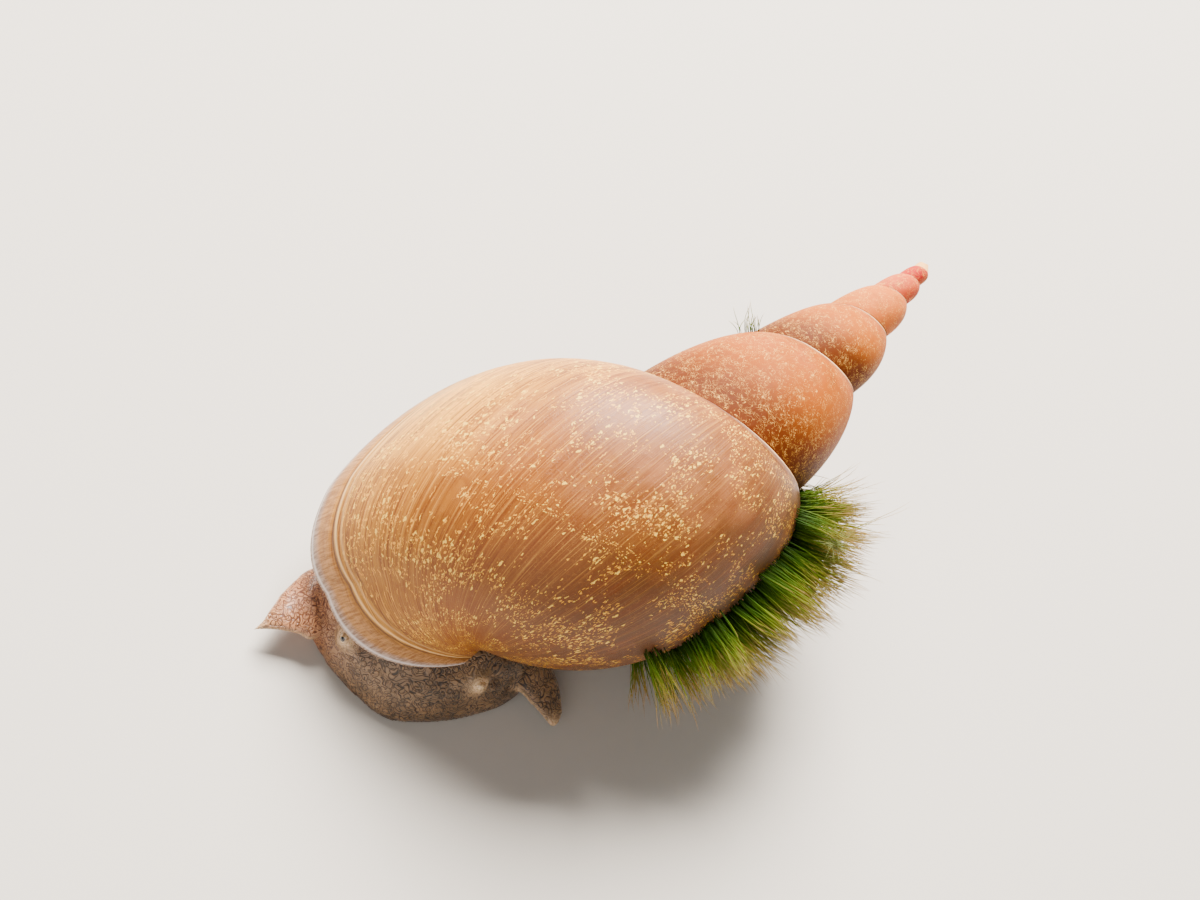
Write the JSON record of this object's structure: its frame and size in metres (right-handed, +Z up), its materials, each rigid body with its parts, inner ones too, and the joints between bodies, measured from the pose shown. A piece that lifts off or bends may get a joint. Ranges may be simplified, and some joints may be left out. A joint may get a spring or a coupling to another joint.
{
  "type": "great pond snail",
  "caption": "Life-size still great pond snail: tall right-handed spiral shell with a beard of algae, head just out, flat three-cornered tentacles, foot sole down.",
  "frame": {"origin": "on the floor, under the middle of the whole snail's box", "axes": "+Z up from the sole, +Y towards the shell's apex, -Y towards the head, +X to the animal's left"},
  "size_m": [0.0318, 0.054, 0.022],
  "materials": {
    "shell": "golden brown horn with fine growth lines and cream flecks, moderate gloss",
    "spire": "red brown horn with fine pale scratches, moderate gloss",
    "mantle": "moist dark grey brown skin with pale spots",
    "flesh": "moist olive grey skin with fine pale pebbling",
    "tentacle": "moist thin skin with a pale edge",
    "eye": "wet black"
  },
  "bodies": {
    "root": {"shell_body_whorl": "shell", "shell_spire": "spire", "mantle_collar": "mantle", "neck": "flesh", "head": "flesh", "foot": "flesh", "tail": "flesh", "tentacle_left": "tentacle", "tentacle_right": "tentacle", "eye_left": "eye", "eye_right": "eye"}
  },
  "joints": []
}
